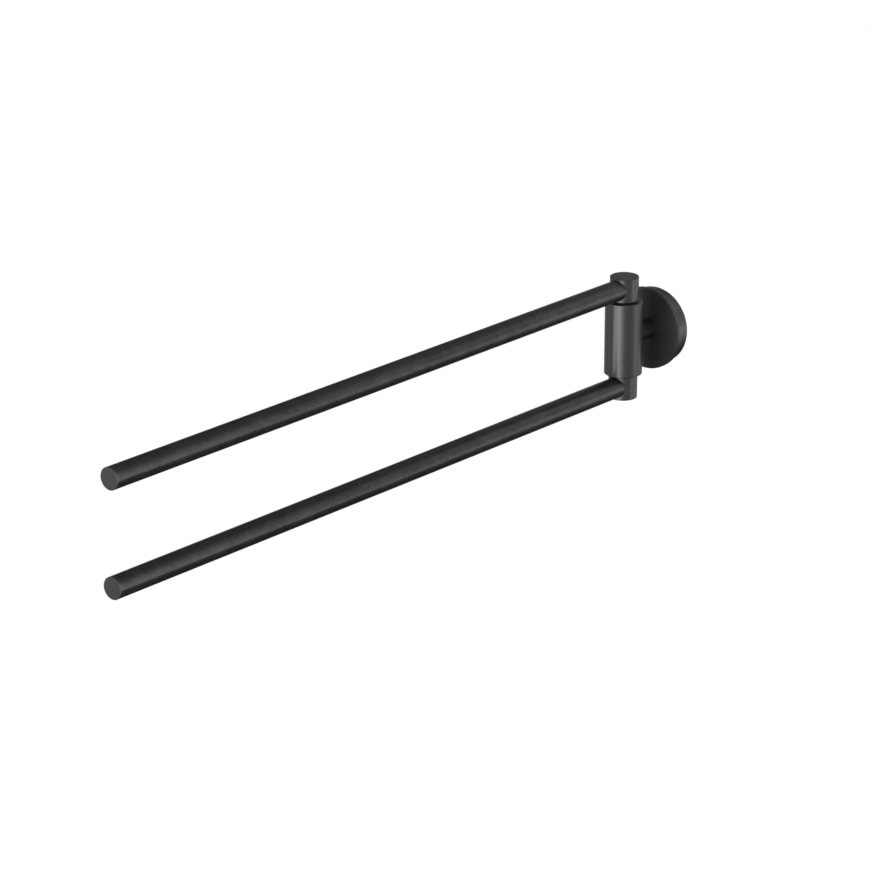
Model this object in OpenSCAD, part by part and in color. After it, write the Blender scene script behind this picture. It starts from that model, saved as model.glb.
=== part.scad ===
// Two-arm swivel towel rack, fixed to a wall by a round rose.
// The origin is the centre of the rose's back face, on the wall. +Z is up and the wall is on the
// +Y side. At rest both arms point straight out of the wall, along -Y, one above the other.

/* [Rose] */
// Diameter of the rose's front plate
rose_d = 47.7; // [47:0.1:60]
// Thickness of the front plate at its rim
rose_plate_t = 2.6; // [2:0.1:5]
// Diameter of the cup behind the front plate
cup_d = 44.5; // [43:0.1:46]
// Depth of the cup, from the wall to the back of the front plate
cup_depth = 7.2; // [7:0.1:12]
// Wall of the cup round its cavity
cup_wall = 2.5; // [2:0.1:3]
// Thickness of the cup's floor, which lies on the wall
cup_floor_t = 2.4; // [1.8:0.1:2.5]
// Width of the ring behind the front plate that plugs into the cup
plug_ring_w = 2.2; // [1.8:0.1:2.4]
// How far that ring reaches into the cup
plug_ring_h = 4.2; // [3.9:0.1:4.4]
// Diameter of the holes for the wall screws
wall_hole_d = 5; // [4:0.1:5.6]
// Distance between the two wall screws
wall_hole_pitch = 26; // [24:0.5:27]
// Diameter of the cone-point set screw under the rose
set_screw_d = 4; // [3:0.5:4]
// Depth of the groove that the set screw's cone bites into
set_groove_depth = 0.8; // [0.5:0.1:1]
// Distance from the ring's end to the middle of that groove
set_groove_up = 1.6; // [1.5:0.1:1.8]

/* [Stem] */
// Diameter of the stem between rose and barrel
stem_d = 12; // [11:0.1:13]
// Distance from the wall to the hinge axis
axis_reach = 30.5; // [28:0.5:45]
// Diameter of the bolt that draws the stem to the barrel
stem_bolt_d = 6; // [5:0.5:6]
// Diameter of the bolt's low head
stem_bolt_head_d = 10; // [9:0.5:11]
// Height of the bolt's low head
stem_bolt_head_h = 3; // [2.5:0.1:3.2]
// Width across the flats of the bolt's socket
stem_bolt_socket = 4; // [3:0.5:4]
// Length of the bolt's thread in the barrel
stem_bolt_bite = 7.5; // [6:0.5:9]
// Thickness of the lock washer
lock_washer_t = 1.2; // [0.8:0.1:1.3]
// Outer diameter of the lock washer
lock_washer_d = 10.6; // [10:0.1:12]

/* [Barrel] */
// Diameter of the barrel
barrel_d = 21.7; // [20:0.1:26]
// Height of the barrel
barrel_h = 43.2; // [42:0.1:60]
// Depth of the spigot's bore in each end of the barrel
barrel_bore_depth = 14.5; // [14:0.1:16]
// Diameter of the pocket that holds a bush
bush_d = 14; // [13:0.1:15]
// Length of a bush inside the barrel
bush_l = 8; // [7:0.1:8]
// How far a bush's flange lies inside the edge of the head above it
flange_step = 0.55; // [0.2:0.05:0.7]
// Diameter of the dog-point stop screws
stop_screw_d = 4; // [3:0.5:4]
// Diameter of a stop screw's point
stop_point_d = 2.4; // [2:0.1:2.5]

/* [Heads] */
// Diameter of a head
head_d = 16.5; // [16:0.1:20]
// Height of a head
head_h = 13.8; // [13.5:0.1:20]
// Gap between the barrel's end and a head, seen as the dark ring
head_gap = 0.5; // [0.5:0.01:1]
// Diameter of a head's pivot spigot
spigot_d = 10; // [9:0.1:10.4]
// Depth of the groove that the stop screw runs in
stop_groove_depth = 1.2; // [0.8:0.1:1.4]
// Distance from the spigot's tip to the middle of that groove
stop_groove_up = 3.3; // [3:0.1:3.6]
// Thickness of the rubber friction ring
ring_t = 1; // [0.8:0.1:1.2]
// Distance from the head's underside to the middle of the friction ring
ring_down = 4.5; // [3.5:0.1:5.5]

/* [Arms] */
// Diameter of an arm tube
tube_d = 12.1; // [11:0.1:12.4]
// Wall of an arm tube
tube_wall = 1.2; // [0.8:0.1:1.5]
// Distance from the hinge axis to an arm's tip
arm_reach = 414.5; // [200:0.5:600]
// Height of an arm's axis above its head's underside
arm_rise = 6.7; // [6.6:0.1:7]
// Distance from the hinge axis to the tube's seat in the head
tube_seat = 3; // [2:0.1:3.5]
// Thickness of an end cap's disc
end_cap_t = 2; // [1.5:0.1:4]
// Length of an end cap's plug inside the tube
end_plug_l = 8; // [5:0.5:15]
// Diameter of the stud between head and tube
stud_d = 6; // [5:0.5:6]
// Depth of the stud in the head, from the tube's seat
stud_in_head = 8; // [6:0.5:8.5]
// Depth of the stud in the insert
stud_in_tube = 8; // [6:0.5:12]
// Length of the insert fixed in the tube's root
insert_l = 14; // [10:0.5:20]

/* [Finish] */
// Chamfer on the turned edges that show
edge = 0.3; // [0.2:0.05:0.6]
// Chamfer on an arm's end face
tip_edge = 0.2; // [0.1:0.05:0.5]

/* [Hidden] */

$fn = 96;
// Radial clearance of a spigot that turns in its bush
running_fit = 0.05;
// Radial clearance of a spigot past its bush, in the barrel's own bore
spigot_room = 0.1;
// Play between a head and its bush's flange
thrust_play = 0.08;
// Room round a stop screw's point in its groove
stop_play = 0.2;
// Radial clearance of pieces that are pressed, screwed or soldered together
fixed_fit = 0.02;
// Radial clearance of the ring that plugs into the cup
slip_fit = 0.1;
// Radial clearance of a bolt through a plain hole
bolt_fit = 0.3;
// Clearance past a blind piece's end
end_fit = 0.5;
// How far a screw's outer end lies below the surface round it
screw_recess = 0.3;
// Depth of a set screw's socket, and its width as a share of the screw's diameter
socket_depth = 1.6;
socket_share = 0.5;
// How far a cutting body reaches past the surface that it opens, or a joined one into the next
over = 1;

satin_black = [0.16, 0.16, 0.165];
black_steel = [0.22, 0.22, 0.23];
zinc_grey = [0.55, 0.56, 0.58];
nylon_black = [0.08, 0.08, 0.08];
brass_yellow = [0.72, 0.58, 0.3];

rose_front = cup_depth + rose_plate_t;
cup_bore_d = cup_d - 2 * cup_wall;
plug_ring_d = cup_bore_d - 2 * slip_fit;
set_screw_out = cup_depth - plug_ring_h + set_groove_up;
washer_back = cup_depth - lock_washer_t;
barrel_top = barrel_h / 2;
head_bottom = barrel_top + head_gap;
bore_bottom = barrel_top - barrel_bore_depth;
spigot_tip = bore_bottom + end_fit;
spigot_bore_d = spigot_d + 2 * spigot_room;
bush_bore_d = spigot_d + 2 * running_fit;
bush_flange_t = head_gap - thrust_play;
stop_z = spigot_tip + stop_groove_up;
stop_groove_w = stop_point_d + 2 * stop_play;
arm_z = head_bottom + arm_rise;
tube_bore_d = tube_d - 2 * tube_wall;

// Turns its children so that their +Z runs out of the wall and their +Y runs up
module out_of_wall() rotate([90, 0, 0]) children();

// Puts its children on the hinge axis
module on_hinge() translate([0, -axis_reach, 0]) children();

// Puts its children on the arm's axis: +Z runs from the hinge axis towards the tip
module on_arm() on_hinge() translate([0, 0, arm_z]) rotate([90, 0, 0]) children();

// Puts its children at the stop screw's height, with +Z from the hinge axis towards the wall
module on_stop() on_hinge() translate([0, 0, stop_z]) rotate([-90, 0, 0]) children();

// The lower arm is the upper one seen in a mirror lying flat at the barrel's middle
module below() mirror([0, 0, 1]) children();

// Solid of revolution round Z: a cylinder with a chamfer on its top edge and one on its bottom edge
module turned(d, h, top = 0, bottom = 0)
    rotate_extrude()
        polygon([
            [0, 0], [d / 2 - bottom, 0], [d / 2, bottom],
            [d / 2, h - top], [d / 2 - top, h], [0, h]
        ]);

// Plain ring round Z
module ring(outer_d, inner_d, h)
    difference() {
        cylinder(d = outer_d, h = h);
        translate([0, 0, -over]) cylinder(d = inner_d, h = h + 2 * over);
    }

// Hexagon socket that opens upwards at z = 0
module socket(flats, depth)
    translate([0, 0, -depth]) cylinder(d = flats / cos(30), h = depth + over, $fn = 6);

// Cup that is screwed to the wall: its floor lies on the wall and its side holds the set screw
module wall_bracket()
    color(satin_black) out_of_wall() difference() {
        cylinder(d = cup_d, h = cup_depth);
        translate([0, 0, cup_floor_t]) cylinder(d = cup_bore_d, h = cup_depth);
        for (side = [-1, 1])
            translate([side * wall_hole_pitch / 2, 0, -over])
                cylinder(d = wall_hole_d, h = cup_floor_t + 2 * over);
        translate([0, 0, set_screw_out])
            rotate([90, 0, 0])
                translate([0, 0, cup_bore_d / 2 - over])
                    cylinder(d = set_screw_d + 2 * fixed_fit, h = cup_wall + 2 * over);
    }

// Front plate of the rose, with the grooved ring that plugs into the cup
module rose_plate()
    color(satin_black) out_of_wall() difference() {
        union() {
            translate([0, 0, cup_depth]) turned(rose_d, rose_plate_t, top = edge);
            translate([0, 0, cup_depth - plug_ring_h]) ring(
                plug_ring_d, plug_ring_d - 2 * plug_ring_w, plug_ring_h + rose_plate_t / 2);
        }
        translate([0, 0, cup_depth - over]) cylinder(
            d = stem_bolt_d + 2 * bolt_fit, h = rose_plate_t + 2 * over);
        rotate_extrude()
            polygon([
                [plug_ring_d / 2 - set_groove_depth, set_screw_out],
                [plug_ring_d / 2 + slip_fit / 2, set_screw_out - set_groove_depth - slip_fit / 2],
                [plug_ring_d / 2 + slip_fit / 2, set_screw_out + set_groove_depth + slip_fit / 2]
            ]);
    }

// Set screw under the rose, its cone point in the ring's groove
module rose_set_screw() {
    point_r = plug_ring_d / 2 - set_groove_depth + fixed_fit;
    outer_r = cup_d / 2 - screw_recess;
    body_h = outer_r - point_r - set_groove_depth;
    color(black_steel) out_of_wall() translate([0, 0, set_screw_out]) rotate([90, 0, 0]) difference() {
        union() {
            translate([0, 0, outer_r - body_h]) cylinder(d = set_screw_d, h = body_h);
            translate([0, 0, point_r]) cylinder(d1 = 0, d2 = 2 * set_groove_depth, h = set_groove_depth);
        }
        translate([0, 0, outer_r]) socket(set_screw_d * socket_share, socket_depth);
    }
}

// Turned sleeve between rose and barrel, its front end coped to the barrel's round
module stem()
    color(satin_black) difference() {
        out_of_wall() translate([0, 0, rose_front]) ring(
            stem_d, stem_bolt_d + 2 * bolt_fit, axis_reach - rose_front);
        on_hinge() translate([0, 0, -stem_d]) cylinder(d = barrel_d + 2 * fixed_fit, h = 2 * stem_d);
    }

// Bolt that draws the rose plate, the stem and the barrel together
module stem_bolt() {
    tip = axis_reach - barrel_d / 2 + stem_bolt_bite;
    color(black_steel) out_of_wall() difference() {
        union() {
            translate([0, 0, washer_back - stem_bolt_head_h])
                turned(stem_bolt_head_d, stem_bolt_head_h, bottom = edge);
            translate([0, 0, washer_back - over])
                turned(stem_bolt_d, tip - washer_back + over, top = edge);
        }
        translate([0, 0, washer_back - stem_bolt_head_h]) mirror([0, 0, 1])
            socket(stem_bolt_socket, socket_depth);
    }
}

// Lock washer between the bolt's head and the rose plate
module stem_lock_washer()
    color(zinc_grey) out_of_wall() translate([0, 0, washer_back])
        ring(lock_washer_d, stem_bolt_d + 2 * bolt_fit, lock_washer_t);

// Barrel with a stepped bore in each end, and threaded holes in its back for bolt and stop screws
module hinge_barrel()
    color(satin_black) on_hinge() difference() {
        translate([0, 0, -barrel_top]) turned(barrel_d, barrel_h, top = edge, bottom = edge);
        for (side = [0, 1]) mirror([0, 0, side]) {
            translate([0, 0, bore_bottom]) cylinder(d = spigot_bore_d, h = barrel_bore_depth + over);
            translate([0, 0, barrel_top - bush_l])
                cylinder(d = bush_d + 2 * fixed_fit, h = bush_l + over);
            translate([0, 0, stop_z]) rotate([-90, 0, 0])
                cylinder(d = stop_screw_d + 2 * fixed_fit, h = barrel_d);
        }
        rotate([-90, 0, 0]) translate([0, 0, barrel_d / 2 - stem_bolt_bite - end_fit])
            cylinder(d = stem_bolt_d + 2 * fixed_fit, h = stem_bolt_bite + end_fit + over);
    }

// Flanged bearing bush; its flange is the dark ring between barrel and head
module bush()
    color(nylon_black) on_hinge() difference() {
        union() {
            translate([0, 0, barrel_top - bush_l]) cylinder(d = bush_d, h = bush_l + bush_flange_t);
            translate([0, 0, barrel_top]) cylinder(d = head_d - 2 * flange_step, h = bush_flange_t);
        }
        translate([0, 0, barrel_top - bush_l - over])
            cylinder(d = bush_bore_d, h = bush_l + bush_flange_t + 2 * over);
    }

// Dog-point screw in the barrel's back that keeps the spigot from lifting out
module stop_screw() {
    point_r = spigot_d / 2 - stop_groove_depth + stop_play;
    shoulder_r = spigot_bore_d / 2 + stop_play;
    outer_r = barrel_d / 2 - screw_recess;
    color(black_steel) on_stop() difference() {
        union() {
            translate([0, 0, shoulder_r]) cylinder(d = stop_screw_d, h = outer_r - shoulder_r);
            translate([0, 0, point_r]) cylinder(d = stop_point_d, h = outer_r - point_r - socket_depth);
        }
        translate([0, 0, outer_r]) socket(stop_screw_d * socket_share, socket_depth);
    }
}

// Head of an arm: turned body and spigot, ring groove, stop groove, and the pocket for the tube
module head()
    color(satin_black) difference() {
        on_hinge() difference() {
            union() {
                translate([0, 0, head_bottom]) turned(head_d, head_h, top = edge, bottom = edge);
                translate([0, 0, spigot_tip])
                    turned(spigot_d, head_bottom - spigot_tip + over, bottom = edge);
            }
            translate([0, 0, stop_z - stop_groove_w / 2])
                ring(spigot_d + over, spigot_d - 2 * stop_groove_depth, stop_groove_w);
            translate([0, 0, head_bottom - ring_down - ring_t / 2 - fixed_fit])
                ring(spigot_d + over, spigot_d - 2 * ring_t, ring_t + 2 * fixed_fit);
        }
        on_arm() {
            translate([0, 0, tube_seat]) cylinder(d = tube_d + 2 * fixed_fit, h = head_d);
            translate([0, 0, tube_seat - stud_in_head - end_fit])
                cylinder(d = stud_d + 2 * fixed_fit, h = stud_in_head + end_fit + over);
        }
    }

// Arm tube, from its seat in the head to the end cap
module tube()
    color(satin_black) on_arm() translate([0, 0, tube_seat])
        ring(tube_d, tube_bore_d, arm_reach - end_cap_t - tube_seat);

// Threaded insert fixed in the tube's root
module insert()
    color(brass_yellow) on_arm() translate([0, 0, tube_seat])
        ring(tube_bore_d - 2 * fixed_fit, stud_d + 2 * fixed_fit, insert_l);

// Stud that holds the tube in the head's pocket
module stud()
    color(black_steel) on_arm() translate([0, 0, tube_seat - stud_in_head]) difference() {
        turned(stud_d, stud_in_head + stud_in_tube, top = edge, bottom = edge);
        translate([0, 0, stud_in_head + stud_in_tube]) socket(stud_d * socket_share, 2 * socket_depth);
    }

// Cap that closes the tube's tip with a flat disc
module end_cap()
    color(satin_black) on_arm() translate([0, 0, arm_reach - end_cap_t]) {
        turned(tube_d, end_cap_t, top = tip_edge);
        translate([0, 0, -end_plug_l])
            turned(tube_bore_d - 2 * fixed_fit, end_plug_l + end_cap_t / 2, bottom = edge);
    }

// Rubber ring on the spigot that drags in the bush
module friction_ring()
    color(nylon_black) on_hinge() translate([0, 0, head_bottom - ring_down])
        rotate_extrude() translate([spigot_d / 2 - ring_t / 2 + fixed_fit, 0]) circle(d = ring_t, $fn = 32);

wall_bracket();
rose_plate();
rose_set_screw();
stem();
stem_bolt();
stem_lock_washer();
hinge_barrel();
bush();  // upper_bush
below() bush();  // lower_bush
stop_screw();  // upper_stop_screw
below() stop_screw();  // lower_stop_screw
head();  // upper_head
tube();  // upper_tube
insert();  // upper_insert
stud();  // upper_stud
end_cap();  // upper_end_cap
friction_ring();  // upper_friction_ring
below() head();  // lower_head
below() tube();  // lower_tube
below() insert();  // lower_insert
below() stud();  // lower_stud
below() end_cap();  // lower_end_cap
below() friction_ring();  // lower_friction_ring
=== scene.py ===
# %% [markdown]
# # Two-arm swivel towel rack
# A round rose holds a short stem, the stem holds an upright barrel, and two long tubes swing on the
# barrel's ends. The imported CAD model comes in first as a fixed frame: every size and place is
# already right. This lesson gives each part its real finish, cuts real threads on the screws,
# twists the teeth of a lock washer, and lights the rack as a studio lights dark satin metal.

import math

import bpy
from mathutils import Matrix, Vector


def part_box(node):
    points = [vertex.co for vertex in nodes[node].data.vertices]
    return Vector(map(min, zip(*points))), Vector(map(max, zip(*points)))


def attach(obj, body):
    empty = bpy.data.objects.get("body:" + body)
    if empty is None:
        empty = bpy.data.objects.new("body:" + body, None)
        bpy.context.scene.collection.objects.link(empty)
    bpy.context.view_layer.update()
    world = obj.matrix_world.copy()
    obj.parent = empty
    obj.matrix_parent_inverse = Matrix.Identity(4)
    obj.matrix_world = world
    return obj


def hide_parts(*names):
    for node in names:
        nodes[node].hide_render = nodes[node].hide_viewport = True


MM = 0.001
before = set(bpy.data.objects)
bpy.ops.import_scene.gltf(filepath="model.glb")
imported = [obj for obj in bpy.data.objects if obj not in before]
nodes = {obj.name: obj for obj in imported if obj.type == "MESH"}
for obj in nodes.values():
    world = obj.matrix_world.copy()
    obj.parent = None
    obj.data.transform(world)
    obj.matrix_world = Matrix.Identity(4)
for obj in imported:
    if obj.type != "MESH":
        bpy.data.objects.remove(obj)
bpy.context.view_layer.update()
print("CAD nodes:", len(nodes))

# %% [markdown]
# ## Camera
# A long lens from 2.2 m away keeps the two arms nearly parallel, as in a catalogue picture. The
# camera stands to the right of the arms and looks down on them a little. It could be aimed by eye,
# but its place was worked out from the arms' edges, so that the picture lies on the photograph.

# %% Camera
CAMERA_PLACE = (1.28154, -1.72399, 0.68086)
CAMERA_AZIMUTH = math.radians(40.006)
CAMERA_TILT_DOWN = math.radians(19.236)
LENS_MM = 162.268
SENSOR_MM = 36

lens = bpy.data.cameras.new("long_lens")
lens.lens = LENS_MM
lens.sensor_width = SENSOR_MM
camera = bpy.data.objects.new("camera", lens)
camera.location = CAMERA_PLACE
camera.rotation_euler = (math.pi / 2 - CAMERA_TILT_DOWN, 0, CAMERA_AZIMUTH)
bpy.context.scene.collection.objects.link(camera)
bpy.context.scene.camera = camera
print("camera", round(camera.location.length, 3), "m from the wall mount, lens", LENS_MM, "mm")

# %% [markdown]
# ## Colours and nodes
# Colours are written as hex codes, which are sRGB. A shader works in linear light, so one function
# converts them. A second function adds a shader node with its options, its values and its links in
# one call, so that each finish below reads as a short recipe.

# %% Two helpers for every finish
SRGB_KNEE, SRGB_SLOPE, SRGB_LIFT, SRGB_POWER = 0.04045, 12.92, 0.055, 2.4


def linear(code):
    channels = [int(code[i:i + 2], 16) / 255 for i in (1, 3, 5)]
    return [c / SRGB_SLOPE if c <= SRGB_KNEE else ((c + SRGB_LIFT) / (1 + SRGB_LIFT)) ** SRGB_POWER
            for c in channels] + [1]


def put(tree, kind, sockets, **options):
    new = tree.nodes.new(kind)
    for name, value in options.items():
        setattr(new, name, value)
    for name, value in sockets.items():
        if isinstance(value, bpy.types.NodeSocket):
            tree.links.new(value, new.inputs[name])
        else:
            new.inputs[name].default_value = value
    return new.outputs[0] if new.outputs else new


print("middle of the black finish, linear:", [round(c, 3) for c in linear("#505050")[:3]])

# %% [markdown]
# ## Marks round an axis
# Turned parts carry rings round their axis, one for each pass of the lathe tool. A texture knows no
# axis, so a turned finish first measures each point's distance from the axis and its place along
# it, and then draws the marks in those two numbers only.

# %% Distance from the axis
UPRIGHT = {"across": (1, 1, 0), "along": (0, 0, 1)}
OUTWARD = {"across": (1, 0, 1), "along": (0, 1, 0)}


def round_the_axis(tree, place, axis):
    across = put(tree, "ShaderNodeVectorMath", {0: place, 1: axis["across"]}, operation="MULTIPLY")
    square = put(tree, "ShaderNodeVectorMath", {0: across, 1: across}, operation="MULTIPLY")
    x_y_z = put(tree, "ShaderNodeSeparateXYZ", {0: square}).node.outputs
    some = put(tree, "ShaderNodeMath", {0: x_y_z[0], 1: x_y_z[1]}, operation="ADD")
    total = put(tree, "ShaderNodeMath", {0: some, 1: x_y_z[2]}, operation="ADD")
    radius = put(tree, "ShaderNodeMath", {0: total}, operation="SQRT")
    radius_only = put(tree, "ShaderNodeCombineXYZ", {"X": radius})
    along = put(tree, "ShaderNodeVectorMath", {0: place, 1: axis["along"]}, operation="MULTIPLY")
    return put(tree, "ShaderNodeVectorMath", {0: radius_only, 1: along}, operation="ADD")


print("turned parts have an axis along", UPRIGHT["along"], "or", OUTWARD["along"])

# %% [markdown]
# ## A finish recipe
# Every finish on the rack varies in the same way. Fine marks come from the tool or the mould, and
# broad, soft patches from handling and from the coating's thickness. Both shift the colour and the
# gloss a little, and the marks also tilt the surface by a hair. So one recipe makes all finishes
# from a few real values: two colours, two roughness values and the size of the marks. Two noises
# of about a half each add up to about 1, and the range round that goes from the one colour to the
# other. The bevel shader rounds the sharp CAD edges, as a coating does. A Mix node has sockets of
# the same name for numbers and for colours, so the ones for colours are taken by their numbers.

# %% The recipe
MIX_FACTOR, MIX_A, MIX_B, MIX_RESULT = 0, 6, 7, 2
EDGE_ROUND_MM, EDGE_SAMPLES = 0.25, 6
MARK_DETAIL, PATCH_DETAIL = 2, 3
NOISE_LOW, NOISE_HIGH = 0.6, 1.4


def finish(name, colours, roughness, marks_mm, patch_mm, depth_mm, metallic,
           centre=(0, 0, 0), axis=None):
    material = bpy.data.materials.new(name)
    material.use_nodes = True
    tree = material.node_tree
    shader = tree.nodes["Principled BSDF"]
    place = tree.nodes.new("ShaderNodeTexCoord").outputs["Object"]
    start = put(tree, "ShaderNodeVectorMath", {0: place, 1: centre}, operation="SUBTRACT")
    if axis:
        start = round_the_axis(tree, start, axis)
    spread = [1 / (mark * MM) for mark in marks_mm]
    fine = put(tree, "ShaderNodeVectorMath", {0: start, 1: spread}, operation="MULTIPLY")
    marks = put(tree, "ShaderNodeTexNoise", {"Vector": fine, "Scale": 1, "Detail": MARK_DETAIL})
    broad = {"Vector": place, "Scale": 1 / (patch_mm * MM), "Detail": PATCH_DETAIL}
    patches = put(tree, "ShaderNodeTexNoise", broad)
    both = put(tree, "ShaderNodeMath", {0: marks, 1: patches}, operation="ADD")
    ends = {"Value": both, "From Min": NOISE_LOW, "From Max": NOISE_HIGH}
    share = put(tree, "ShaderNodeMapRange", ends)
    low, high = (linear(code) for code in colours)
    mixed = {MIX_FACTOR: share, MIX_A: low, MIX_B: high}
    colour = put(tree, "ShaderNodeMix", mixed, data_type="RGBA").node.outputs[MIX_RESULT]
    tree.links.new(colour, shader.inputs["Base Color"])
    satin = {"Value": share, "To Min": roughness[0], "To Max": roughness[1]}
    gloss = put(tree, "ShaderNodeMapRange", satin)
    tree.links.new(gloss, shader.inputs["Roughness"])
    rounded = put(tree, "ShaderNodeBevel", {"Radius": EDGE_ROUND_MM * MM}, samples=EDGE_SAMPLES)
    hair = {"Height": marks, "Distance": depth_mm * MM, "Normal": rounded}
    tilt = put(tree, "ShaderNodeBump", hair)
    tree.links.new(tilt, shader.inputs["Normal"])
    shader.inputs["Metallic"].default_value = metallic
    return material


print("recipe ready; edges look rounded by", EDGE_ROUND_MM, "mm")

# %% [markdown]
# ## Satin black metal
# The rack is brass under a very thin black coating, which is hard and still metallic. The eye gets
# soft, grey streaks of light on a dark metal, and not the glassy shine of paint. So the finish is
# mostly metallic, with a small matt share from the coating. The tubes are brushed lengthwise on a
# belt and take the coating a little unevenly, which the eye reads as a soft mottle of lengthwise
# marks; their colours also run darker than the turned parts', which is painted shade that darkens
# the arms. Round parts come off a lathe with fine, even rings. The faced ends of the arms get a
# lighter copy of the black, which is painted light that brightens their faces. Both kinds of mark
# are finer than a pixel in life, at 0.05 to 0.1 mm, and are drawn coarser here so that they show.

# %% Black metal for tubes and turned parts
TURNED_BLACK, TURNED_SATIN = ("#4c4c4c", "#535353"), (0.29, 0.325)
# The caps' colours are a lighter copy of the black: painted light that brightens the end faces.
CAP_BLACK_PAINTED_LIGHTER = ("#515151", "#575757")
# The tubes' wide, darker range is partly the coating's mottle and partly painted shade on the arms.
TUBE_BLACK_MOTTLE_AND_PAINTED_SHADE, TUBE_SATIN = ("#414141", "#545454"), (0.265, 0.345)
BLACK_METALLIC = 0.73
BLACK_PATCH_MM, BLACK_DEPTH_MM = 9, 0.0003
BELT_MARKS_MM = (1, 3, 1)
LATHE_MARKS_MM = (0.6, 0.6, 0.6)


def turned_metal(name, centre, axis, colours=TURNED_BLACK):
    return finish(name, colours, TURNED_SATIN, LATHE_MARKS_MM, BLACK_PATCH_MM, BLACK_DEPTH_MM,
                  BLACK_METALLIC, centre, axis)


barrel_low, barrel_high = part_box("hinge_barrel")
hinge = (barrel_low + barrel_high) / 2
brushed_tube_mottle_and_painted_shade = finish("black_coating_brushed_mottle_and_painted_shade", TUBE_BLACK_MOTTLE_AND_PAINTED_SHADE, TUBE_SATIN, BELT_MARKS_MM,
                      BLACK_PATCH_MM, BLACK_DEPTH_MM, BLACK_METALLIC)
turned_upright = turned_metal("black_coating_turned_upright", hinge, UPRIGHT)
turned_outward = turned_metal("black_coating_turned_outward", (0, 0, 0), OUTWARD)
worn_by = {name: turned_outward for name in ("wall_bracket", "rose_plate", "stem")}
worn_by["hinge_barrel"] = turned_upright
for side in ("upper", "lower"):
    low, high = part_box(side + "_end_cap")
    worn_by[side + "_head"] = turned_upright
    worn_by[side + "_tube"] = brushed_tube_mottle_and_painted_shade
    # Each end cap gets the lighter copy of the black, painted light on its face.
    worn_by[side + "_end_cap"] = turned_metal(
        side + "_cap_coating_turned_painted_lighter", (low + high) / 2, OUTWARD, CAP_BLACK_PAINTED_LIGHTER)
print("black metal on", len(worn_by), "pieces")

# %% [markdown]
# ## The hidden finishes
# Screws are blackened in a hot salt bath, which leaves a dark, slightly blotchy steel. The lock
# washer is zinc plated, a cool bright grey with cloudy spots. The inserts are bare brass off a
# lathe. The bushes are moulded nylon, which has a very fine grain and a soft sheen. The friction
# rings are rubber, nearly matt. A small part looks alive only when its finish is a little uneven.

# %% Steel, zinc, brass, nylon and rubber
blackened_steel = finish(
    "blackened_steel", ("#3b3b3e", "#56565a"), roughness=(0.28, 0.42), marks_mm=(0.5, 0.5, 0.5),
    patch_mm=2, depth_mm=0.002, metallic=1)
zinc = finish(
    "zinc_plated_steel", ("#a9aeb4", "#cdd1d6"), roughness=(0.25, 0.4), marks_mm=(0.8, 0.8, 0.8),
    patch_mm=1.5, depth_mm=0.002, metallic=1)
nylon = finish(
    "moulded_black_nylon", ("#141414", "#1e1e1e"), roughness=(0.45, 0.6),
    marks_mm=(0.2, 0.2, 0.2), patch_mm=3, depth_mm=0.004, metallic=0)
rubber = finish(
    "nitrile_rubber", ("#0f0f0f", "#1a1a1a"), roughness=(0.7, 0.85), marks_mm=(0.3, 0.3, 0.3),
    patch_mm=2, depth_mm=0.006, metallic=0)
worn_by["stem_lock_washer"] = zinc
for side in ("upper", "lower"):
    low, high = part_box(side + "_insert")
    worn_by[side + "_insert"] = finish(
        side + "_insert_turned_brass", ("#c49a4e", "#dcb768"), roughness=(0.22, 0.34),
        marks_mm=(0.4, 0.4, 0.4), patch_mm=4, depth_mm=0.002, metallic=1,
        centre=(low + high) / 2, axis=OUTWARD)
    worn_by[side + "_bush"] = nylon
    worn_by[side + "_friction_ring"] = rubber
for name, piece in nodes.items():
    piece.data.materials.clear()
    piece.data.materials.append(worn_by.get(name, blackened_steel))
    print(name, "-", piece.data.materials[0].name)

# %% [markdown]
# ## Workshop helpers
# Screws and washers are turned parts. Their outline is half of a section through the axis, drawn
# from one point by pulling out the next, and then spun with a Screw modifier. The same modifier
# climbs as it spins when it is given a rise, and then it makes the path of a thread tool.

# %% Draw an outline, spin it, cut with it
SPIN_STEPS = 48
WELD = 0.0005 * MM


def only(thing):
    bpy.ops.object.select_all(action="DESELECT")
    thing.select_set(True)
    bpy.context.view_layer.objects.active = thing


def outline(points_mm):
    points = [Vector((radius, 0, height)) * MM for radius, height in points_mm]
    bpy.ops.object.select_all(action="DESELECT")
    bpy.ops.mesh.primitive_plane_add()
    bpy.ops.object.mode_set(mode="EDIT")
    bpy.ops.mesh.select_all(action="SELECT")
    bpy.ops.mesh.merge(type="CENTER")
    bpy.ops.transform.translate(value=points[0])
    for here, there in zip(points, points[1:]):
        bpy.ops.mesh.extrude_region_move(TRANSFORM_OT_translate={"value": there - here})
    bpy.ops.mesh.select_all(action="SELECT")
    bpy.ops.mesh.remove_doubles(threshold=WELD)
    bpy.ops.object.mode_set(mode="OBJECT")
    return bpy.context.object


def spin(points_mm, rise_mm=0, turns=1):
    piece = outline(points_mm)
    bpy.ops.object.modifier_add(type="SCREW")
    path = piece.modifiers[-1]
    path.steps = path.render_steps = SPIN_STEPS
    path.screw_offset = rise_mm * MM
    path.iterations = turns
    bpy.ops.object.modifier_apply(modifier=path.name)
    bpy.ops.object.mode_set(mode="EDIT")
    bpy.ops.mesh.select_all(action="SELECT")
    bpy.ops.mesh.remove_doubles(threshold=WELD)
    bpy.ops.mesh.fill_holes(sides=0)
    bpy.ops.mesh.normals_make_consistent(inside=False)
    bpy.ops.object.mode_set(mode="OBJECT")
    return piece


def cut(piece, tool):
    only(piece)
    bpy.ops.object.modifier_add(type="BOOLEAN")
    step = piece.modifiers[-1]
    step.operation, step.solver, step.object = "DIFFERENCE", "EXACT", tool
    bpy.ops.object.modifier_apply(modifier=step.name)
    bpy.data.objects.remove(tool)


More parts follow.
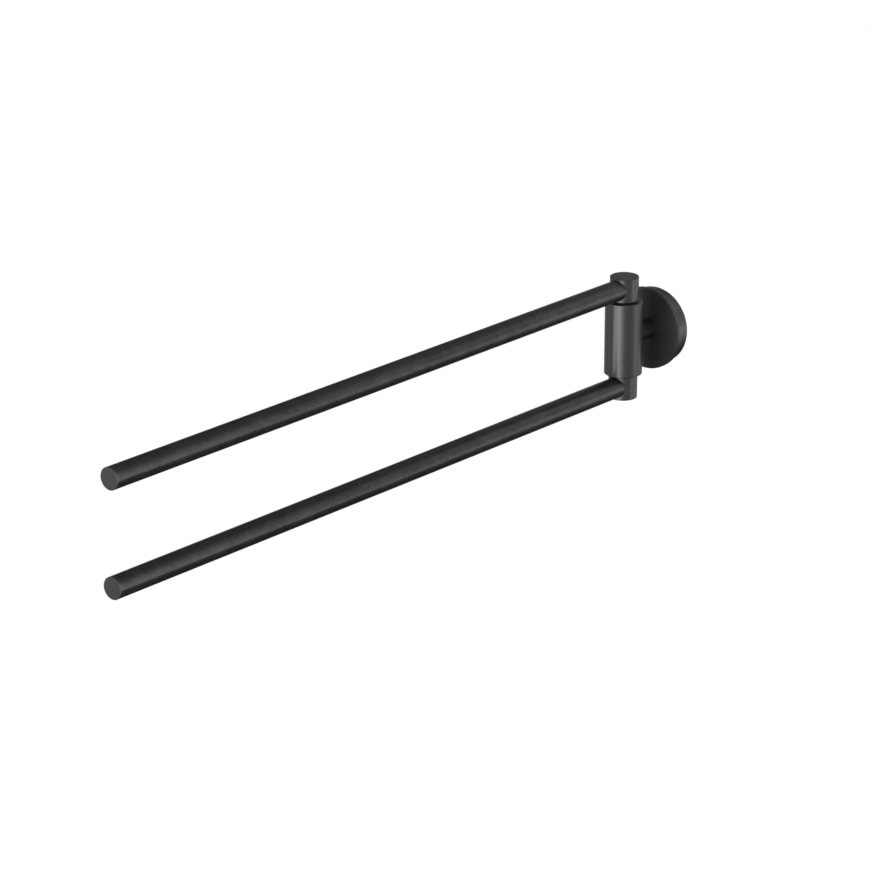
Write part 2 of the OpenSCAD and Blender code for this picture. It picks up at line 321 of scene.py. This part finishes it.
print("a spin has", SPIN_STEPS, "steps")

# %% [markdown]
# ## Real threads
# A thread is cut by a pointed tool that moves along the turning screw by one pitch a turn. Here the
# tool is a closed wedge with the section of a metric thread. It climbs round the blank and is then
# taken away from it. A drawing would fake this with rings, but a real thread climbs, and its start
# at the chamfer shows that at a glance. Four shares of the pitch give the wedge: the depth of the
# cut, half its width at the root, half its width at the mouth, and how far the mouth stands out of
# the blank. The blank is first turned by half a step, so that its edges miss those of the wedge.

# %% Thread and socket
DEPTH_OF_PITCH, ROOT_OF_PITCH, MOUTH_OF_PITCH, PAST_OF_PITCH = 0.613, 0.083, 0.495, 0.1
HEXAGON = 6


def cut_thread(blank, diameter, pitch, start, end):
    only(blank)
    half_step = math.pi / SPIN_STEPS
    bpy.ops.transform.rotate(value=half_step, orient_axis="Z", center_override=(0, 0, 0))
    bpy.ops.object.transform_apply()
    root, mouth = ROOT_OF_PITCH * pitch, MOUTH_OF_PITCH * pitch
    inner = diameter / 2 - DEPTH_OF_PITCH * pitch
    outer = diameter / 2 + PAST_OF_PITCH * pitch
    wedge = [
        (inner, start - root), (outer, start - mouth), (outer, start + mouth),
        (inner, start + root), (inner, start - root)]
    turns = math.ceil((end - start) / pitch)
    cut(blank, spin(wedge, pitch, turns))
    return turns


def cut_socket(blank, flats, depth):
    corner = flats / math.sqrt(3)
    bpy.ops.mesh.primitive_cylinder_add(
        vertices=HEXAGON, radius=corner * MM, depth=2 * depth * MM, location=(0, 0, 0))
    cut(blank, bpy.context.object)


print("a thread is", DEPTH_OF_PITCH, "of its pitch deep")

# %% [markdown]
# ## Into its place
# A made piece stands upright at the origin, with its foot at height 0. It is turned to its
# direction and laid into the box of the CAD node that it replaces, and all of that goes into its
# mesh. It also takes the node's body, so that it moves with the arm, and the node's material slot.

# %% Copy and place
SMOOTH_BELOW = math.radians(30)


def copy_of(piece):
    only(piece)
    bpy.ops.object.duplicate(linked=False)
    return bpy.context.object


def put_in_place(piece, node, direction, body, metal):
    low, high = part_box(node)
    direction = Vector(direction)
    reach = abs((high - low).dot(direction)) / 2
    only(piece)
    piece.location = (low + high) / 2 - reach * direction
    piece.rotation_euler = direction.to_track_quat("Z", "Y").to_euler()
    bpy.ops.object.transform_apply()
    bpy.ops.object.shade_smooth_by_angle(angle=SMOOTH_BELOW)
    piece.name = node + "_made"
    piece.data.materials.clear()
    piece.data.materials.append(metal)
    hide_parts(node)
    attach(piece, body)


print("edges under", round(math.degrees(SMOOTH_BELOW)), "degrees are shaded smooth")

# %% [markdown]
# ## Set screw
# The set screw under the rose ends in a cone that wedges into the plate's groove, so tightening it
# pulls the rose tight to the cup. It is an M4 screw without a head, driven by a 2 mm hexagon key.
# Its socket is at the bottom and its point at the top, and its length is the CAD screw's.

# %% The set screw
M4, M4_PITCH, M4_FLATS, SOCKET_DEPTH = 4, 0.7, 2, 1.6
CHAMFER, TURNED_DOWN = 0.3, 0.5
CONE_HEIGHT, CONE_R = 0.8, 0.8
UP = (0, 0, 1)


def length_of(node, direction):
    low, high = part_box(node)
    return abs((high - low).dot(Vector(direction))) / MM


def m4_screw(shoulder, point):
    screw = spin([
        (0, 0), (M4 / 2 - CHAMFER, 0), (M4 / 2, CHAMFER), (M4 / 2, shoulder - TURNED_DOWN),
        (M4 / 2 - TURNED_DOWN, shoulder)] + point)
    cut_thread(screw, M4, M4_PITCH, -M4_PITCH, shoulder + M4_PITCH)
    cut_socket(screw, M4_FLATS, SOCKET_DEPTH)
    return screw


whole = length_of("rose_set_screw", UP)
shoulder = whole - CONE_HEIGHT
set_screw = m4_screw(shoulder, [(CONE_R, shoulder), (0, whole)])
put_in_place(set_screw, "rose_set_screw", UP, "wall_mount", blackened_steel)
print("set screw:", round(whole, 2), "mm long,", len(set_screw.data.polygons), "faces")

# %% [markdown]
# ## Stop screws
# A stop screw ends in a plain pin, the dog, that runs in the head's groove: the head can turn but
# can't lift out. Both stop screws are the same, so one is built and copied, and each lies at the
# barrel's back with its dog towards the room.

# %% The two stop screws
DOG_R, DOG_LENGTH, DOG_CHAMFER = 1.2, 1.3, 0.2
TO_ROOM = (0, -1, 0)
whole = length_of("upper_stop_screw", TO_ROOM)
shoulder = whole - DOG_LENGTH
stop_screw = m4_screw(shoulder, [
    (DOG_R, shoulder), (DOG_R, whole - DOG_CHAMFER), (DOG_R - DOG_CHAMFER, whole), (0, whole)])
for side, screw in (("upper", stop_screw), ("lower", copy_of(stop_screw))):
    put_in_place(screw, side + "_stop_screw", TO_ROOM, "wall_mount", blackened_steel)
print("stop screw:", round(whole, 2), "mm long,", len(stop_screw.data.polygons), "faces")

# %% [markdown]
# ## Studs
# Each arm is drawn into its head by an M6 stud that is threaded over its whole length. A hexagon
# socket in its free end lets a key screw it into the head first. Then the tube is turned on to it.

# %% The M6 studs
M6, M6_PITCH, M6_CHAMFER = 6, 1, 0.5
STUD_FLATS, STUD_SOCKET = 3, 3.2
TO_WALL = (0, 1, 0)
whole = length_of("upper_stud", TO_WALL)
stud = spin([
    (0, 0), (M6 / 2 - M6_CHAMFER, 0), (M6 / 2, M6_CHAMFER), (M6 / 2, whole - M6_CHAMFER),
    (M6 / 2 - M6_CHAMFER, whole), (0, whole)])
turns = cut_thread(stud, M6, M6_PITCH, -M6_PITCH, whole + M6_PITCH)
cut_socket(stud, STUD_FLATS, STUD_SOCKET)
for side, screw in (("upper", stud), ("lower", copy_of(stud))):
    put_in_place(screw, side + "_stud", TO_WALL, side + "_arm", blackened_steel)
print("stud:", round(whole, 2), "mm long,", turns, "turns of thread")

# %% [markdown]
# ## Stem bolt
# The bolt behind the rose has a low head, because the cup is shallow, and a thread that stops a
# little short of the head, where a real die can't reach.

# %% The bolt
BOLT_HEAD_D, BOLT_HEAD_H, BOLT_FLATS, RUN_OUT = 10, 3, 4, 1.2
whole = length_of("stem_bolt", TO_ROOM)
bolt = spin([
    (0, 0), (BOLT_HEAD_D / 2 - CHAMFER, 0), (BOLT_HEAD_D / 2, CHAMFER),
    (BOLT_HEAD_D / 2, BOLT_HEAD_H), (M6 / 2, BOLT_HEAD_H), (M6 / 2, whole - M6_CHAMFER),
    (M6 / 2 - M6_CHAMFER, whole), (0, whole)])
turns = cut_thread(bolt, M6, M6_PITCH, BOLT_HEAD_H + RUN_OUT, whole + M6_PITCH)
cut_socket(bolt, BOLT_FLATS, SOCKET_DEPTH)
put_in_place(bolt, "stem_bolt", TO_ROOM, "wall_mount", blackened_steel)
print("bolt:", round(whole, 2), "mm long,", turns, "turns of thread")

# %% [markdown]
# ## Toothed lock washer
# A press stamps this washer with eight teeth round its edge and twists each of them by a few
# degrees. Their corners bite into the bolt's head and the plate and keep the bolt from working
# loose. The ring is spun first. The twisted teeth stand taller than the sheet, so the ring lies
# halfway up the CAD washer's box.

# %% The washer's ring
SHEET, INNER_R, RIM_R = 0.6, 3.3, 4.3
low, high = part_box("stem_lock_washer")
thickness, outer_r = (high.y - low.y) / MM, (high.x - low.x) / 2 / MM
ring_low, ring_high = (thickness - SHEET) / 2, (thickness + SHEET) / 2
washer = spin([
    (INNER_R, ring_low), (RIM_R, ring_low), (RIM_R, ring_high), (INNER_R, ring_high),
    (INNER_R, ring_low)])
print("washer sheet", SHEET, "mm thick in a box of", round(thickness, 2), "mm")

# %% [markdown]
# ## Eight twisted teeth
# The teeth are pulled out of the rim all together. Then the tooth that points along X is twisted
# and the whole washer is turned by an eighth, eight times over, so that one line of code does
# every tooth in the same easy place. A tooth takes the middle two thirds of its eighth, and its
# tip stays a hair inside the CAD washer's edge. Faces are picked by their distance from the axis
# and by the way they point: a cosine above 0.9 means within about 26 degrees.

# %% The washer's teeth
TEETH, TWIST = 8, math.radians(12)
HALF_TOOTH = 0.34
RIM_BAND, TIP_BAND, TIP_ROOM = 0.1, 0.3, 0.02
FACING = 0.9


def pick_rim(piece, radius, keep):
    bpy.ops.object.mode_set(mode="EDIT")
    bpy.ops.mesh.select_all(action="DESELECT")
    bpy.ops.object.mode_set(mode="OBJECT")
    for face in piece.data.polygons:
        flat = Vector((face.center.x, face.center.y, 0))
        on_rim = flat.length > radius * MM and face.normal.dot(flat.normalized()) > FACING
        face.select = on_rim and keep(face)
    bpy.ops.object.mode_set(mode="EDIT")
    bpy.ops.mesh.select_mode(type="FACE")


def in_a_tooth(face):
    turn = math.atan2(face.center.y, face.center.x) / math.tau * TEETH
    return abs(turn - round(turn)) < HALF_TOOTH


only(washer)
pick_rim(washer, RIM_R - RIM_BAND, in_a_tooth)
grow = (outer_r - TIP_ROOM) / RIM_R
bpy.ops.mesh.extrude_region_move()
bpy.ops.transform.resize(value=(grow, grow, 1), center_override=(0, 0, 0))
middle = (0, 0, thickness / 2 * MM)
for tooth in range(TEETH):
    pick_rim(washer, outer_r - TIP_BAND, lambda face: face.normal.x > FACING)
    bpy.ops.transform.rotate(value=TWIST, orient_axis="X", center_override=middle)
    bpy.ops.mesh.select_all(action="SELECT")
    bpy.ops.transform.rotate(value=math.tau / TEETH, orient_axis="Z", center_override=middle)
bpy.ops.object.mode_set(mode="OBJECT")
put_in_place(washer, "stem_lock_washer", TO_ROOM, "wall_mount", zinc)
print("washer:", [round(v / MM, 2) for v in washer.dimensions], "mm")

# %% [markdown]
# ## The room
# The background is a white room of strength 1, which the camera sees as pure white and the metal
# reflects wherever no card stands in the way. The rack hangs high on a wall, so the room has no
# floor, and no shadow falls beside the rack.

# %% White room
WHITE, ROOM_STRENGTH = linear("#ffffff"), 1
world = bpy.data.worlds.new("white_room")
world.use_nodes = True
tree = world.node_tree
tree.nodes.clear()
sky = put(tree, "ShaderNodeBackground", {"Color": WHITE, "Strength": ROOM_STRENGTH})
put(tree, "ShaderNodeOutputWorld", {"Surface": sky})
bpy.context.scene.world = world
bpy.context.scene.view_settings.view_transform = "Standard"
print("white room of strength", ROOM_STRENGTH)

# %% [markdown]
# ## Soft lamps
# Satin metal shows its lamps as blurred streaks, so their place and size decide where each streak
# lies. The key is a large softbox to the left of the camera, brighter towards its middle, and is
# made of three nested lamps. It gives the main streak on the barrel and along both arms. The rim
# lamp on the right draws the second streak and the rose's edge. The strip and the low lamp shape
# the barrel's left side and the arms' underside, and the two behind light the arms' tops and the
# barrel's right side. Each lamp is given by its compass direction, its height, its half width and
# half height as seen from the rack, all in degrees, and its radiance, where 1 is as bright as the
# white room. A flat lamp's watts are pi times its radiance and its area.

# %% Soft lamps
AIM = Vector((0, -0.2, 0))
LAMP_DISTANCE = 2.0


def heading(azimuth, elevation):
    a, e = math.radians(azimuth), math.radians(elevation)
    return Vector((math.cos(a) * math.cos(e), math.sin(a) * math.cos(e), math.sin(e)))


def soft_lamp(name, azimuth, elevation, half_width, half_height, radiance):
    light = bpy.data.lights.new(name, "AREA")
    light.shape = "RECTANGLE"
    light.size = 2 * LAMP_DISTANCE * math.tan(math.radians(half_width))
    light.size_y = 2 * LAMP_DISTANCE * math.tan(math.radians(half_height))
    light.energy = radiance * math.pi * light.size * light.size_y
    lamp = bpy.data.objects.new(name, light)
    lamp.location = AIM + LAMP_DISTANCE * heading(azimuth, elevation)
    lamp.rotation_euler = (AIM - lamp.location).to_track_quat("-Z", "Y").to_euler()
    lamp.visible_camera = False
    bpy.context.scene.collection.objects.link(lamp)


LAMPS = {
    "key": (267, -2, 34, 18, 1.05),
    "key_middle": (270, -4, 20, 18, 1.79),
    "key_core": (272, -8, 10, 18, 0.82),
    "rim": (20.5, 16.5, 16.1, 34.8, 1.38),
    "back": (79, 16, 23.7, 18.6, 0.68),
    "low_front": (290, -12, 18, 17, 1.38),
    "left_strip": (249, -12, 8, 38, 1.92),
    "back_spot": (62, -8, 11.2, 5, 1.33),
}
for name, settings in LAMPS.items():
    soft_lamp(name, *settings)
print(len(LAMPS), "soft lamps", LAMP_DISTANCE, "m from the rack")

# %% [markdown]
# ## Dark cards
# White light from every side would turn black metal grey and flat. A photographer stands dark
# cards round it, and every card comes back as a dark streak that gives the round parts their
# shape. Here each card is a piece of a round shell, cut out by its compass direction, height, half
# width and half height in degrees. Its tone goes from 0, black velvet, to 1, as white as the room,
# so a card of 0.4 only takes the edge off the light. A later card stands in front of an earlier
# one. The camera looks past them all, as if they stood just outside its picture.

# %% Dark cards
SHELL_RADIUS, SHELL_STEP = 2.2, 0.01
SHELL_SEGMENTS, SHELL_RINGS = 120, 60


def dark_card(name, azimuth, elevation, half_width, half_height, tone, radius):
    bpy.ops.object.select_all(action="DESELECT")
    bpy.ops.mesh.primitive_uv_sphere_add(
        segments=SHELL_SEGMENTS, ring_count=SHELL_RINGS, radius=radius, location=AIM)
    shell = bpy.context.object
    shell.name = name + "_card"
    bpy.ops.object.mode_set(mode="EDIT")
    bpy.ops.mesh.select_all(action="DESELECT")
    bpy.ops.object.mode_set(mode="OBJECT")
    for face in shell.data.polygons:
        away = face.center.normalized()
        turn = (math.degrees(math.atan2(away.y, away.x)) - azimuth + 180) % 360 - 180
        rise = math.degrees(math.asin(away.z)) - elevation
        face.select = abs(turn) > half_width or abs(rise) > half_height
    bpy.ops.object.mode_set(mode="EDIT")
    bpy.ops.mesh.select_mode(type="FACE")
    bpy.ops.mesh.delete(type="FACE")
    bpy.ops.object.mode_set(mode="OBJECT")
    paper = bpy.data.materials.new(name + "_paper")
    paper.use_nodes = True
    paper.cycles.emission_sampling = "NONE"
    paper.node_tree.nodes.clear()
    glow = put(paper.node_tree, "ShaderNodeEmission", {"Color": WHITE, "Strength": tone})
    put(paper.node_tree, "ShaderNodeOutputMaterial", {"Surface": glow})
    shell.data.materials.append(paper)
    shell.visible_camera = False


CARDS = {
    "top": (7.4, 52.4, 170.3, 42.7, 0.19),
    "left_wall": (153.8, -33.1, 39.8, 75.8, 0.38),
    "right_wall": (-3.7, 30, 25, 52, 0.64),
    "low_back": (126.9, -45, 83.3, 16.6, 0.03),
    "left_high": (141.1, 26, 24.5, 25.6, 0.09),
    "low_front": (293.8, -52.6, 126.4, 28.4, 0.05),
    "back_right": (45.7, 22.5, 9.9, 34, 0.28),
    "front_left": (231.9, -14.5, 11.9, 33.8, 0),
    "front_right": (331.3, 1.9, 40.9, 18, 0.38),
    "bottom": (0, -75, 180, 15, 0),
    "front_far_left": (229.4, 8.1, 32.5, 25.8, 0.47),
    "back_low": (100, -8.8, 30.3, 22.6, 0.46),
}
for number, (name, settings) in enumerate(CARDS.items()):
    dark_card(name, *settings, SHELL_RADIUS - SHELL_STEP * number)
print(len(CARDS), "cards in a shell of", SHELL_RADIUS, "m")
